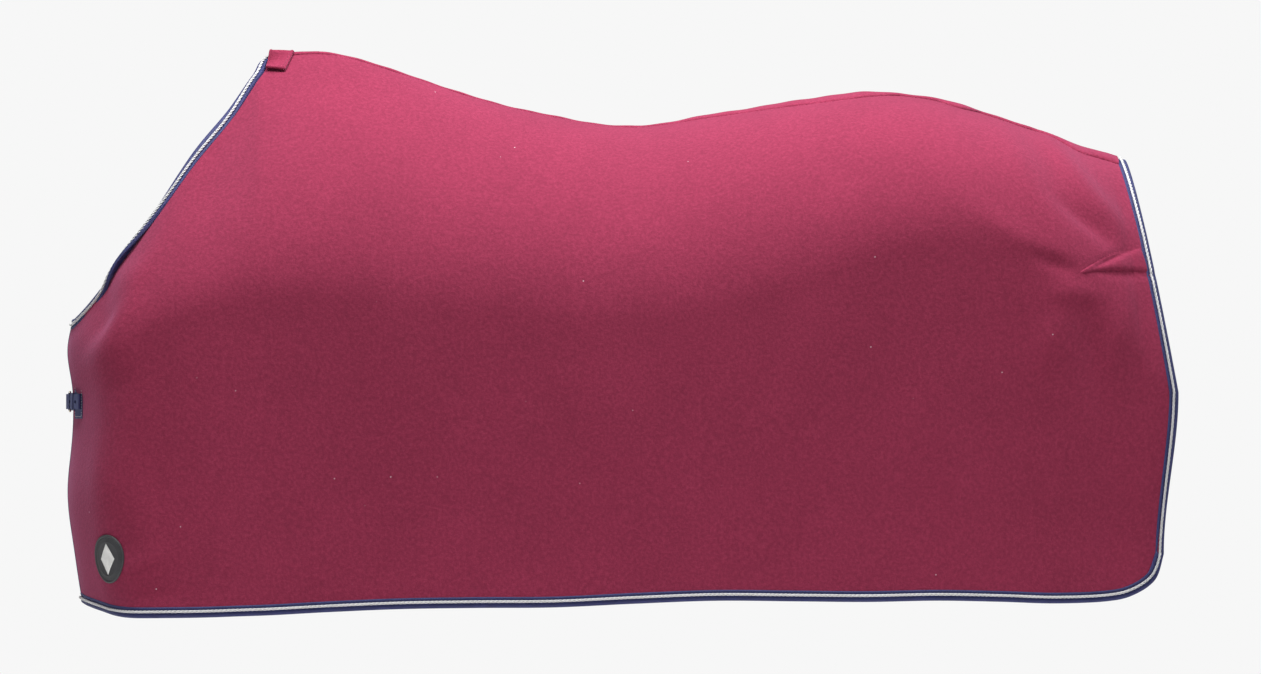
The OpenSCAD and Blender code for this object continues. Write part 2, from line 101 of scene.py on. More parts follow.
NECK_FLARE = (5.5, 9.5)  # stations between which the neck's flare gives way to the round back
EDGE_POINTS = np.array([row[:3] for row in STATIONS], float)
STEEPNESS = np.array([[row[3]] for row in STATIONS], float)


def between(table, u):
    """A smooth curve through the table's rows, read at places u."""
    first = np.clip(np.floor(u), 0, LAST - 1).astype(int)
    t = (u - first)[..., None]
    a, b, c, d = (table[np.clip(first + k, 0, LAST)] for k in (-1, 0, 1, 2))
    return 0.5 * (
        2 * b + (c - a) * t + (2 * a - 5 * b + 4 * c - d) * t**2 + (3 * b - a - 3 * c + d) * t**3
    )


def pattern(u, v):
    """The near side's outer face as sewn: u counts stations, v runs from the top to the hem."""
    top, turn, hem = (between(EDGE_POINTS[:, k], u) for k in range(3))
    for row in (top, turn, hem):
        row[..., 1] = np.maximum(row[..., 1], 0)
    angle = np.minimum(1, v / TURN) * math.pi / 2
    down = 1 - np.cos(angle)
    k = np.clip((NECK_FLARE[1] - u) / (NECK_FLARE[1] - NECK_FLARE[0]), 0, 1)
    flare = k * k * (3 - 2 * k)
    round_out = np.sin(angle) ** between(STEEPNESS, u)[..., 0]
    out = round_out * (1 - flare) + down * (1.1 + down * (0.8 - 0.9 * down)) * flare
    lead = down**REAR_LEAD * (1 - flare) + down * (1.8 - 0.8 * down) * flare
    t = np.maximum(0, (v - TURN) / (1 - TURN))
    s = t * t * (3 - 2 * t)
    lying = top + (turn - top) * np.stack([lead, out, down], -1)
    hanging = turn + (hem - turn) * np.stack([s, s, t], -1)
    place = np.where((t == 0)[..., None], lying, hanging)
    place[..., 1] = -place[..., 1] - FRONT_GAP / 2 * np.maximum(0, 1 - u)
    place[..., 2] -= BACK
    return place * MM


def unit(a):
    return a / np.maximum(1e-12, np.linalg.norm(a, axis=-1, keepdims=True))


def facing(face, u, v):
    """The outward direction of a face, straight up and down the middle along the spine."""
    step = 0.01
    across = face(u, np.minimum(1, v + step)) - face(u, np.maximum(0, v - step))
    along = face(np.minimum(LAST, u + step), v) - face(np.maximum(0, u - step), v)
    out = unit(np.cross(across, along))
    spine = (v <= 0) & (u >= WITHERS)
    out[..., 1] = np.where(spine, 0, out[..., 1])
    return unit(out)


# How the cloth lies: soft creases and swags, drawn in the side view as lines from
# [x, z] to [x, z] with a width and a height, all in millimetres
def crease(x, z, start, end, width, height):
    a = np.array(start, float) * MM
    b = np.array(end, float) * MM
    run = b - a
    t = ((x - a[0]) * run[0] + (z - a[1]) * run[1]) / (run @ run)
    near = np.clip(t, 0, 1)
    gap = np.hypot(x - a[0] - near * run[0], z - a[1] - near * run[1]) / (width * MM)
    fade = np.clip(1.15 - np.abs(2 * near - 1), 0, 1)
    return height * MM * np.exp(-gap * gap) * fade


# Folds round the hip wedge, at the shoulder, above the corner of the front, and along the hem
NEAR_CREASES = [
    [[655, 45], [835, -185], 20, 8],
    [[700, -98], [832, -205], 13, -6],
    [[722, -72], [850, -180], 17, 4.5],
    [[668, -205], [762, -240], 14, -6.5],
    [[690, -268], [800, -276], 17, 5],
    [[768, -234], [853, -196], 6, -5],
    [[774, -237], [882, -242], 6, -5],
    [[600, 60], [742, -215], 30, 5],
    [[560, -120], [745, -232], 22, 4],
    [[735, -262], [700, -420], 30, 6],
    [[765, -262], [790, -480], 24, -5],
    [[838, -280], [800, -420], 16, 3.5],
    [[866, -265], [848, -480], 13, -3],
    [[-745, -150], [-868, -400], 18, 4],
    [[-800, -250], [-892, -390], 13, -4],
    [[-838, -250], [-862, -375], 14, -3.5],
    [[-815, -225], [-845, -400], 18, 3],
    [[-786, -210], [-836, -285], 22, 4],
    [[-770, -235], [-800, -290], 14, -2],
    [[-872, -430], [-800, -420], 22, -3],
    [[-866, -500], [-835, -640], 22, 3],
    [[-790, -560], [-770, -760], 26, 2.5],
    [[-735, -700], [-860, -742], 16, 3],
    [[-700, -765], [-840, -775], 10, -2],
    [[-420, -120], [-300, -640], 60, 4],
    [[-60, -260], [20, -740], 70, 4.5],
    [[330, -140], [300, -700], 60, 4],
    [[500, -330], [560, -760], 50, 4],
]


def swags(u, v, x, hung):
    """Slow waves that grow towards the hem, as a free edge hangs."""
    slow = np.sin(5.1 * x + 0.6) + 0.6 * np.sin(9.7 * x + 2.1) + 0.35 * np.sin(17.3 * x + 0.4)
    middle = np.clip(np.minimum(u - 2, LAST - 1 - u) / 3, 0, 1)
    return 3.2 * MM * slow * hung**2 * middle


def lie(u, v, place, far):
    x = place[..., 0]
    z = place[..., 2]
    hung = np.clip((-0.1 - z) / 0.7, 0, 1)
    if far:
        lifted = swags(u, v, x + 0.37, hung)
        for start, end, width, height in NEAR_CREASES[::2]:
            lifted = lifted + crease(x - 0.013, z + 0.02, start, end, width * 1.2, height)
    else:
        lifted = swags(u, v, x, hung)
        for start, end, width, height in NEAR_CREASES:
            lifted = lifted + crease(x, z, start, end, width, height)
    # the strap and the tail rings hold the cloth where it was cut, and so does the spine
    held = np.hypot((x + 0.905) / 0.06, (z + 0.451) / 0.07)
    ring = np.hypot((x - 0.89) / 0.05, (z + 0.345) / 0.05)
    spine = np.clip(v / 0.06, 0, 1)
    front = np.clip(u / 0.8, 0, 1)
    chest_fall = np.clip((-0.78 - x) / 0.09, 0, 1)
    chest_fall = chest_fall * chest_fall * (3 - 2 * chest_fall)
    tucked = np.clip((-0.63 - z) / 0.17, 0, 1)
    belly = 0.010 * np.exp(-(((z + 0.60) / 0.075) ** 2)) - 0.018 * tucked * tucked
    belly = belly + 0.011 * np.exp(-(((z + 0.365) / 0.05) ** 2))
    folds = lifted * (1 - np.exp(-held**2)) * (1 - np.exp(-ring**2)) * spine * front
    return folds + belly * chest_fall


def near_cloth(u, v):
    place = pattern(u, v)
    return place + facing(pattern, u, v) * lie(u, v, place, False)[..., None]


def off_cloth(u, v):
    place = pattern(u, v)
    laid = place + facing(pattern, u, v) * lie(u, v, place, True)[..., None]
    return laid * [1, -1, 1]


def off_facing(u, v):
    return facing(lambda a, b: off_cloth(a, b) * [1, -1, 1], u, v) * [1, -1, 1]


def near_facing(u, v):
    return facing(near_cloth, u, v)


SIDES = {"near": (near_cloth, near_facing), "off": (off_cloth, off_facing)}


# Making pieces
def piece(name, bm, material, body="rug", smooth=True):
    """A finished object at the origin from a bmesh."""
    mesh = bpy.data.meshes.new(name)
    for face in bm.faces:
        face.smooth = smooth
    bm.to_mesh(mesh)
    bm.free()
    mesh.materials.append(material)
    made = bpy.data.objects.new(name, mesh)
    bpy.context.collection.objects.link(made)
    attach(made, body)
    return made


def bent_grid(columns, rows, place):
    """A grid whose points are moved to place(a, b), a and b running from 0 to 1."""
    bm = bmesh.new()
    layer = bm.loops.layers.uv.new("cut")
    bmesh.ops.create_grid(bm, x_segments=columns, y_segments=rows, size=0.5, calc_uvs=True)
    spots = np.array([vert.co[:2] for vert in bm.verts]) + 0.5
    for vert, spot in zip(bm.verts, place(spots[:, 0], spots[:, 1])):
        vert.co = spot
    for face in bm.faces:
        for loop in face.loops:
            loop[layer].uv = spots[loop.vert.index]
    return bm


def lay_uv(bm, wide, long):
    """Scales a cut's UV map to metres, so that a weave keeps its size."""
    layer = bm.loops.layers.uv.active
    for face in bm.faces:
        for loop in face.loops:
            loop[layer].uv = (loop[layer].uv[0] * wide, loop[layer].uv[1] * long)


def thick(bm, by):
    """Gives a sheet its thickness inwards, closed at the rim."""
    bm.normal_update()
    bmesh.ops.solidify(bm, geom=bm.faces[:], thickness=by)
    bmesh.ops.recalc_face_normals(bm, faces=bm.faces)


def even_places(face, places, step):
    """Places along a line of the pattern, an even step apart on the cloth."""
    points = face(places[:, 0], places[:, 1])
    gone = np.concatenate([[0], np.cumsum(np.linalg.norm(np.diff(points, axis=0), axis=1))])
    count = max(2, int(round(gone[-1] / step)))
    at = np.linspace(0, gone[-1], count + 1)
    return np.stack([np.interp(at, gone, places[:, k]) for k in (0, 1)], -1)


def edge_frames(face, out_of, places, flip=1):
    """Place, inward and outward directions along an edge, with the run between them."""
    points = face(places[:, 0], places[:, 1])
    run = np.zeros_like(points)
    run[1:-1] = points[2:] - points[:-2]
    run[0] = points[1] - points[0]
    run[-1] = points[-1] - points[-2]
    run = unit(run)
    out = out_of(places[:, 0], places[:, 1])
    inward = unit(np.cross(out, run)) * flip
    return points, inward, out, run


def swept(name, profile, frames, material, turns=None):
    """A closed section carried along frames. The profile is in metres, inward and outward."""
    points, inward, out, _ = frames
    count = len(points)
    around = len(profile)

    def spot(a, b):
        i = np.rint(a * (count - 1)).astype(int)
        k = np.rint(b * around).astype(int) % around
        section = profile[k]
        if turns is not None:
            angle = turns[i]
            middle = profile.mean(0)
            off = section - middle
            section = middle + np.stack(
                [
                    off[:, 0] * np.cos(angle) - off[:, 1] * np.sin(angle),
                    off[:, 0] * np.sin(angle) + off[:, 1] * np.cos(angle),
                ],
                -1,
            )
        return points[i] + inward[i] * section[:, :1] + out[i] * section[:, 1:]

    bm = bent_grid(count - 1, around, spot)
    length = float(np.linalg.norm(np.diff(points, axis=0), axis=1).sum())
    girth = float(np.linalg.norm(np.diff(profile, axis=0), axis=1).sum())
    lay_uv(bm, length, girth)
    bmesh.ops.remove_doubles(bm, verts=bm.verts, dist=1e-6)
    bmesh.ops.holes_fill(bm, edges=[edge for edge in bm.edges if edge.is_boundary])
    bmesh.ops.recalc_face_normals(bm, faces=bm.faces)
    return piece(name, bm, material)


# Materials
class Paint:
    """A material's nodes, wired by name."""

    def __init__(self, name, colour, rough):
        self.material = bpy.data.materials.new(name)
        self.material.use_nodes = True
        self.tree = self.material.node_tree
        self.shader = self.tree.nodes["Principled BSDF"]
        self.shader.inputs["Base Color"].default_value = (*colour, 1)
        self.shader.inputs["Roughness"].default_value = rough
        self.coords = self.tree.nodes.new("ShaderNodeTexCoord")

    def link(self, source, target):
        self.tree.links.new(source, target)

    def mapped(self, kind, scale):
        node = self.tree.nodes.new("ShaderNodeMapping")
        node.inputs["Scale"].default_value = scale
        self.link(self.coords.outputs[kind], node.inputs["Vector"])
        return node.outputs["Vector"]

    def noise(self, vector, scale, detail=2, rough=0.5):
        node = self.tree.nodes.new("ShaderNodeTexNoise")
        node.inputs["Scale"].default_value = scale
        node.inputs["Detail"].default_value = detail
        node.inputs["Roughness"].default_value = rough
        self.link(vector, node.inputs["Vector"])
        return node.outputs["Fac"]

    def cells(self, vector, scale, output="Distance"):
        node = self.tree.nodes.new("ShaderNodeTexVoronoi")
        node.inputs["Scale"].default_value = scale
        self.link(vector, node.inputs["Vector"])
        return node.outputs[output]

    def ribs(self, vector, apart, direction="X", bend=0.0):
        """Even bands this far apart in metres."""
        node = self.tree.nodes.new("ShaderNodeTexWave")
        node.bands_direction = direction
        node.inputs["Scale"].default_value = math.pi / 10 / apart
        node.inputs["Distortion"].default_value = bend
        self.link(vector, node.inputs["Vector"])
        return node.outputs["Fac"]

    def number(self, operation, a, b):
        node = self.tree.nodes.new("ShaderNodeMath")
        node.operation = operation
        for socket, value in zip(node.inputs, (a, b)):
            if isinstance(value, (int, float)):
                socket.default_value = value
            else:
                self.link(value, socket)
        return node.outputs["Value"]

    def ramp(self, value, stops):
        node = self.tree.nodes.new("ShaderNodeValToRGB")
        ramp = node.color_ramp
        while len(ramp.elements) < len(stops):
            ramp.elements.new(0.5)
        for element, (at, colour) in zip(ramp.elements, stops):
            element.position = at
            element.color = (*colour, 1)
        self.link(value, node.inputs["Fac"])
        return node.outputs["Color"]

    def mix(self, amount, a, b, kind="MIX"):
        node = self.tree.nodes.new("ShaderNodeMix")
        node.data_type = "RGBA"
        node.blend_type = kind
        sockets = [node.inputs["Factor"], node.inputs[6], node.inputs[7]]
        for socket, value in zip(sockets, (amount, a, b)):
            if isinstance(value, (int, float)):
                socket.default_value = value
            elif isinstance(value, tuple):
                socket.default_value = (*value, 1)
            else:
                self.link(value, socket)
        return node.outputs[2]

    def colour(self, source):
        self.link(source, self.shader.inputs["Base Color"])

    def rough(self, source):
        self.link(source, self.shader.inputs["Roughness"])

    def bump(self, height, distance, strength=1.0, under=None):
        node = self.tree.nodes.new("ShaderNodeBump")
        node.inputs["Distance"].default_value = distance
        node.inputs["Strength"].default_value = strength
        self.link(height, node.inputs["Height"])
        if under is not None:
            self.link(under, node.inputs["Normal"])
        self.link(node.outputs["Normal"], self.shader.inputs["Normal"])
        return node.outputs["Normal"]

    def set(self, **values):
        for name, value in values.items():
            self.shader.inputs[name.replace("_", " ")].default_value = value


def fleece(name, colour):
    """Short brushed pile: tufts a few millimetres wide, fine fibres, and a little lint."""
    paint = Paint(name, colour, 0.95)
    spot = paint.coords.outputs["Object"]
    tufts = paint.noise(spot, 190, 3, 0.6)
    fibres = paint.noise(spot, 900, 2, 0.7)
    cloudy = paint.noise(spot, 9, 3, 0.55)
    lint = paint.cells(spot, 38)
    darker = tuple(c * 0.87 for c in colour)
    lighter = tuple(min(1, c * 1.15 + 0.003) for c in colour)
    pile = paint.ramp(tufts, [(0.32, darker), (0.5, colour), (0.7, lighter)])
    brushed = paint.ramp(cloudy, [(0.3, (0.95, 0.95, 0.95)), (0.7, (1.04, 1.04, 1.04))])
    pile = paint.mix(1.0, pile, brushed, "MULTIPLY")
    frayed = paint.ramp(fibres, [(0.35, (0.86, 0.86, 0.86)), (0.65, (1.12, 1.12, 1.12))])
    pile = paint.mix(1.0, pile, frayed, "MULTIPLY")
    speck = paint.ramp(lint, [(0.0, (1, 1, 1)), (0.035, (1, 1, 1)), (0.05, (0, 0, 0))])
    sparse = paint.noise(spot, 23, 0, 0.5)
    chosen = paint.ramp(sparse, [(0.0, (0, 0, 0)), (0.63, (0, 0, 0)), (0.66, (1, 1, 1))])
    specks = paint.mix(1.0, speck, chosen, "MULTIPLY")
    amount = paint.number("MULTIPLY", specks, 0.6)
    paint.colour(paint.mix(amount, pile, (0.75, 0.62, 0.66)))
    height = paint.number("ADD", tufts, paint.number("MULTIPLY", fibres, 0.4))
    paint.bump(height, 0.0011, 0.75)
    paint.set(Sheen_Weight=0.2, Sheen_Roughness=0.5, Sheen_Tint=(1.0, 0.45, 0.8, 1))
    paint.set(Specular_IOR_Level=0.12)
    return paint.material


def woven(name, colour, rib, cut=True):
    """Woven tape: ribs across its run and finer warp threads along it."""
    paint = Paint(name, colour, 0.62)
    spot = paint.mapped("UV" if cut else "Object", (1, 1, 1))
    ribs = paint.ribs(spot, rib, "X" if cut else "Y", 0.15)
    threads = paint.ribs(spot, rib * 0.62, "Y" if cut else "Z", 0.1)
    worn = paint.noise(paint.coords.outputs["Object"], 60, 3, 0.6)
    frayed = paint.noise(paint.coords.outputs["Object"], 900, 2, 0.6)
    weave = paint.number("MULTIPLY", ribs, paint.number("ADD", paint.number("MULTIPLY", threads, 0.6), 0.4))
    dark = tuple(c * 0.6 for c in colour)
    light = tuple(min(1, c * 1.45 + 0.01) for c in colour)
    shade = paint.ramp(weave, [(0.05, dark), (0.45, colour), (0.95, light)])
    faded = paint.ramp(worn, [(0.35, (0.86, 0.86, 0.90)), (0.7, (1.18, 1.18, 1.12))])
    shade = paint.mix(1.0, shade, faded, "MULTIPLY")
    fluff = paint.ramp(frayed, [(0.4, (0.92, 0.92, 0.92)), (0.7, (1.12, 1.12, 1.12))])
    paint.colour(paint.mix(1.0, shade, fluff, "MULTIPLY"))
    paint.bump(weave, 0.00035, 0.7)
    paint.set(Sheen_Weight=0.125, Sheen_Roughness=0.35, Sheen_Tint=(0.6, 0.68, 1, 1))
    return paint.material


def twist(name, colour):
    """Soft twisted yarn with fine fibres."""
    paint = Paint(name, colour, 0.8)
    spot = paint.coords.outputs["Object"]
    fibres = paint.noise(spot, 1400, 2, 0.6)
    grime = paint.noise(spot, 25, 3, 0.6)
    dull = tuple(c * 0.86 for c in colour)
    shade = paint.ramp(fibres, [(0.3, dull), (0.6, colour)])
    soiled = paint.ramp(grime, [(0.35, (0.93, 0.93, 0.92)), (0.65, (1, 1, 1))])
    paint.colour(paint.mix(1.0, shade, soiled, "MULTIPLY"))
    paint.bump(fibres, 0.0003, 0.5)
    paint.set(Sheen_Weight=0.3, Sheen_Roughness=0.4)
    return paint.material


def moulded(name, colour, rough):
    """Soft moulded plastic with a fine grain."""
    paint = Paint(name, colour, rough)
    spot = paint.coords.outputs["Object"]
    grain = paint.noise(spot, 1600, 2, 0.6)
    handled = paint.noise(spot, 70, 3, 0.6)
    light = tuple(min(1, c * 1.25 + 0.01) for c in colour)
    paint.colour(paint.ramp(handled, [(0.35, colour), (0.75, light)]))
    paint.rough(paint.number("ADD", paint.number("MULTIPLY", handled, 0.25), rough - 0.12))
    paint.bump(grain, 0.00012, 0.5)
    return paint.material


def plated(name, colour):
    """Plated wire: satin, with fine scratches and duller patches."""
    paint = Paint(name, colour, 0.3)
    spot = paint.coords.outputs["Object"]
    scratches = paint.noise(paint.mapped("Object", (1, 1, 14)), 700, 2, 0.6)
    dull = paint.noise(spot, 160, 3, 0.6)
    brown = tuple(c * 0.72 for c in colour)
    paint.colour(paint.ramp(dull, [(0.3, brown), (0.6, colour)]))
    paint.rough(paint.number("ADD", paint.number("MULTIPLY", dull, 0.3), 0.14))
    paint.bump(scratches, 0.00006, 0.35)
    paint.set(Metallic=1.0)
    return paint.material


BURGUNDY = (0.236, 0.024, 0.059)
NAVY = (0.021, 0.026, 0.130)
side_fleece = fleece("burgundy_fleece", BURGUNDY)
band_fleece = fleece("burgundy_fleece_band", tuple(c * 1.04 for c in BURGUNDY))
edge_tape = woven("navy_edge_tape", NAVY, 0.0012)
strap_webbing = woven("navy_webbing", tuple(c * 0.9 for c in NAVY), 0.0016, False)
white_cord = twist("white_twisted_cord", (0.66, 0.66, 0.67))
fleece_thread = twist("burgundy_thread", tuple(c * 0.85 for c in BURGUNDY))
navy_thread = twist("navy_thread", (0.035, 0.045, 0.19))
white_thread = twist("white_thread", (0.74, 0.74, 0.72))
badge_plastic = moulded("badge_grey_plastic", (0.036, 0.037, 0.041), 0.55)
badge_pale = moulded("badge_white_plastic", (0.72, 0.72, 0.70), 0.5)
buckle_plating = plated("buckle_plating", (0.72, 0.66, 0.52))


# The two fleece sides
COLUMNS = 300
ROWS = 128
cloth_lines = np.linspace(0, LAST, 1200)
cloth_line = np.stack([cloth_lines, np.full(1200, 0.45)], -1)
even_columns = even_places(pattern, cloth_line, 0.0005)
drop_line = np.stack([np.full(800, 12.0), np.linspace(0, 1, 800)], -1)
even_rows = even_places(pattern, drop_line, 0.0005)


def cloth_side(side):
    face, _ = SIDES[side]

    def place(a, b):
        u = np.interp(a, np.linspace(0, 1, len(even_columns)), even_columns[:, 0])
        v = np.interp(b, np.linspace(0, 1, len(even_rows)), even_rows[:, 1])
        return face(u, v)

    bm = bent_grid(COLUMNS, ROWS, place)
    lay_uv(bm, 2.0, 1.15)
    if side == "near":
        bmesh.ops.reverse_faces(bm, faces=bm.faces)
    thick(bm, FLEECE)
    made = piece(side + "_fleece_side", bm, side_fleece)
    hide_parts(side + "_side_panel")
    return made


near_side = cloth_side("near")
off_side = cloth_side("off")


# Edge trim: a folded tape round the edge, with a rolled outer lip and a twisted cord on it
TAPE_SECTION = MM * np.array([
    [16.0, -0.4], [15.9, 0.5], [15.0, 1.05], [13.4, 1.1], [12.0, 0.8], [10.6, 0.6],
    [8.5, 0.55], [6.6, 0.6], [5.6, 0.9], [4.4, 1.6], [2.9, 2.0], [1.2, 1.9],
    [-0.5, 1.2], [-1.6, -0.1], [-2.0, -1.8], [-1.7, -3.4], [-0.7, -4.7], [1.4, -5.2],
    [5.5, -5.1], [10.0, -5.0], [14.2, -5.1], [15.5, -4.9], [16.0, -4.2], [15.9, -2.4],
])
FLAT_TAPE_SECTION = TAPE_SECTION * [1, 0.62] + [0, -0.0006]
CORD_R = 2.35 * MM
CORD_IN = 8.5 * MM
CORD_OUT = 1 * MM + CORD_R
CORD_PITCH = 21 * MM


def cord_section():
    """Three strands that touch, seen end on."""
    strand = CORD_R / (1 + 2 / math.sqrt(3))
    middle = CORD_R - strand
    angles = np.arange(18) * math.pi / 9
    off = np.abs((angles + math.pi / 3) % (2 * math.pi / 3) - math.pi / 3)
    reach = middle * np.cos(off) + np.sqrt(np.maximum(0, strand**2 - (middle * np.sin(off)) ** 2))
    ring = np.stack([np.cos(angles), np.sin(angles)], -1) * reach[:, None]
    return ring + [CORD_IN, CORD_OUT - 0.0006]


CORD_SECTION = cord_section()


def half_edge(side, places, step):
    face, out_of = SIDES[side]
    even = even_places(face, places, step)
    return edge_frames(face, out_of, even, 1 if side == "near" else -1)


def over_spine(near, off, up):
    """Joins the frames of both sides where they meet at the spine."""
    parts = (near, [row[::-1] for row in off]) if up else ([row[::-1] for row in off], near)
    joined = []
    for k, (first, second) in enumerate(zip(*parts)):
        middle = (first[-1:] + second[:1]) / 2
        if k in (1, 2):
            middle[:, 1] = 0
            middle = unit(middle)
        joined.append(np.concatenate([first[:-1], middle, second[1:]]))
    return joined


def calmed(frames, reach):
    """The same edge with its directions averaged along it, so that the trim doesn't roll."""
    points, inward, out, run = frames
    window = np.hanning(2 * reach + 1)
    padded = np.pad(out, ((reach, reach), (0, 0)), mode="edge")
    calm = unit(np.stack([np.convolve(padded[:, k], window, "valid") for k in range(3)], -1))
    flip = np.sign(np.sum(np.cross(calm, run) * inward, -1))
    middle = np.sign(np.sum(flip))
    return points, unit(np.cross(calm, run)) * np.where(flip == 0, middle, flip)[:, None], calm, run


def line_places(u, v):
    u, v = np.broadcast_arrays(np.asarray(u, float), np.asarray(v, float))
    return np.stack([u, v], -1)


NECK = line_places(np.linspace(WITHERS, 0, 500), 0.0)
TAIL_UP = line_places(LAST, np.linspace(1, 0, 500))
HEM = line_places(np.linspace(0, LAST, 900), 1.0)
FRONT = line_places(0.0, np.linspace(0, 1, 400))
TAPE_STEP = 4 * MM
CORD_STEP = 2.3 * MM


def edges_at(step):
    """The frames of the six edges of the rug, by name."""
    neck = over_spine(half_edge("near", NECK, step), half_edge("off", NECK, step), False)
    neck = calmed(neck, round(0.07 / step))
    tail = over_spine(half_edge("near", TAIL_UP, step), half_edge("off", TAIL_UP, step), True)
    made = {"neck": neck, "tail": tail}
    for side in SIDES:
        made[side + "_hem"] = half_edge(side, HEM, step)
        made[side + "_front"] = half_edge(side, FRONT, step)
    return made


tape_edges = edges_at(TAPE_STEP)
cord_edges = edges_at(CORD_STEP)
trim_pieces = {"near": [], "off": []}


def trim_side(name):
    """The side whose sheet a trim piece moves with."""
    return "off" if name.startswith("off") else "near"


for name, frames in tape_edges.items():
    section = FLAT_TAPE_SECTION if name.endswith("front") else TAPE_SECTION
    made = swept(name + "_edge_tape", section, frames, edge_tape)
    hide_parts(name + "_binding")
    trim_pieces[trim_side(name)].append(made)
for name, frames in cord_edges.items():
    if name.endswith("front"):
        continue
    lengths = np.linalg.norm(np.diff(frames[0], axis=0), axis=1)
    turns = 2 * math.pi * np.concatenate([[0], np.cumsum(lengths)]) / CORD_PITCH
    made = swept(name + "_twisted_cord", CORD_SECTION, frames, white_cord, turns)
    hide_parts(name + "_cord")
    trim_pieces[trim_side(name)].append(made)


# Stitching: short threads, pulled into the cloth at both ends
def stitch_row(bm, points, run, out, long, wide, gap, sunk=0.35):
    """Threads along a line of points, long by wide, with a gap between them."""
    gone = np.concatenate([[0], np.cumsum(np.linalg.norm(np.diff(points, axis=0), axis=1))])
    count = int(gone[-1] / (long + gap))
    for at in (np.arange(count) + 0.5) * gone[-1] / max(1, count):
        spot, way, up = (
            np.array([np.interp(at, gone, row[:, k]) for k in range(3)]) for row in (points, run, out)
        )
        way = unit(way)
        up = unit(up - way * (up @ way))
        side = np.cross(up, way)
        middle = spot + up * wide * (0.5 - sunk)
        columns = (way * long / 2, side * wide / 2, up * wide / 2, middle)
        turn = Matrix([[column[k] for column in columns] for k in range(3)] + [[0, 0, 0, 1]])
        bmesh.ops.create_uvsphere(bm, u_segments=6, v_segments=4, radius=1, matrix=turn)


def trim_stitches(name, frames, inward, lift):
    points, into, out, run = frames
    bm = bmesh.new()
    stitch_row(bm, points + into * inward + out * lift, run, out, 3.2 * MM, 0.7 * MM, 1.2 * MM)
    made = piece(name, bm, navy_thread)
    return made


for name, frames in tape_edges.items():
    if not name.endswith("front"):
        made = trim_stitches(name + "_edge_stitches", frames, 14.2 * MM, 1.0 * MM)
        trim_pieces[trim_side(name)].append(made)


# Where a height or a distance is on the pattern
def row_at(u, z):
    """v where the column u is at height z."""
    low = np.zeros_like(u)
    high = np.ones_like(u)
    for _ in range(22):
        middle = (low + high) / 2
        above = pattern(u, middle)[..., 2] > z
        low = np.where(above, middle, low)
        high = np.where(above, high, middle)
    return (low + high) / 2


def place_at(x, z):
    """(u, v) where the near side is at x and z."""
    v = np.full_like(x, 0.5)
    for _ in range(8):
        low = np.zeros_like(x)
        high = np.full_like(x, LAST)
        for _ in range(22):
            middle = (low + high) / 2
            before = pattern(middle, v)[..., 0] < x
            low = np.where(before, middle, low)
            high = np.where(before, high, middle)
        u = (low + high) / 2
        v = row_at(u, z)
    return u, v


def row_down(u, far):
    """v at this distance down the column from its top."""
    low = np.zeros_like(u)
    high = np.full_like(u, 0.5)
    start = pattern(u, np.zeros_like(u))
    for _ in range(20):
        middle = (low + high) / 2
        short = np.linalg.norm(pattern(u, middle) - start, axis=-1) < far
        low = np.where(short, middle, low)
        high = np.where(short, high, middle)
    return (low + high) / 2


def row_dropped(u, drop):
    """v where the column u is this much lower than its top."""
    return row_at(u, pattern(u, np.zeros_like(u))[..., 2] - drop)


# The band over the spine seam: its near edge wanders, as sewn by hand over the croup
SEAM_SHOWS = MM * np.array([
    [-545, 2.0], [-300, 2.0], [0, 2.2], [60, 3.2], [98, 5.0], [250, 8.5], [340, 11.5], [385, 12.0],
    [420, 8.5], [460, 5.0], [510, 3.4], [535, 6.5], [560, 9.0], [585, 6.0], [612, 3.6], [683, 4.2],
    [715, 9.0], [757, 16.0], [790, 13.5], [812, 15.5], [850, 15.5],
])


def band_top(x):
    """How thick the band is along the back."""
    return MM * np.interp(x, [-0.55, 0.0, 0.1, 0.4, 0.83], [1.8, 1.8, 3.0, 4.5, 5.0])


def shown_seam(x):
    return sum(np.interp(x + k * 0.006, *SEAM_SHOWS.T) for k in (-2, -1, 0, 1, 2)) / 5


BAND_FROM = WITHERS + 0.40
BAND_TO = LAST - 1.12
BAND_STEPS = 620
BAND_ACROSS = 14


def band_edges(u):
    """v at the near and the off edge of the band."""
    x = pattern(u, np.zeros_like(u))[..., 0]
    drop = np.maximum(0.0004, shown_seam(x) - band_top(x))
    near = np.maximum(row_dropped(u, drop), row_down(u, 6 * MM))
    off = row_down(u, np.interp(x, [-0.5, 0.3, 0.8], [6 * MM, 14 * MM, 18 * MM]))
    return x, near, off


def laid_over(u, v, lift):
    """A place laid over the spine; v below 0 is on the off side."""
    near = near_cloth(u, np.abs(v)) + near_facing(u, np.abs(v)) * lift[..., None]
    flip = np.where(v < 0, -1.0, 1.0)[..., None]
    return near * np.concatenate([np.ones_like(flip), flip, np.ones_like(flip)], -1)


def spine_band_place(a, b):
    u = BAND_FROM + (BAND_TO - BAND_FROM) * a
    x, near, off = band_edges(u)
    v = near - (near + off) * b
    rounded = 1 - np.abs(2 * b - 1) ** 7
    puckers = 0.25 * MM * np.sin(x * 700 + 1.3 * np.sin(x * 61)) * np.exp(-((b - 0.1) / 0.1) ** 2)
    wander = 0.5 * MM * np.sin(x * 47 + 1) + 0.4 * MM * np.sin(x * 113 + 0.3)
    return laid_over(u, v, band_top(x) * rounded - 0.9 * MM * (1 - rounded) + puckers + wander * rounded)


bm = bent_grid(BAND_STEPS, BAND_ACROSS, spine_band_place)
thick(bm, 0.8 * MM)
spine_band = piece("spine_band", bm, band_fleece)
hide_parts("spine_tape")


# The patch over the withers: a raised, stitched border, its front over the neck trim's end
PATCH_LEAN = 0.34


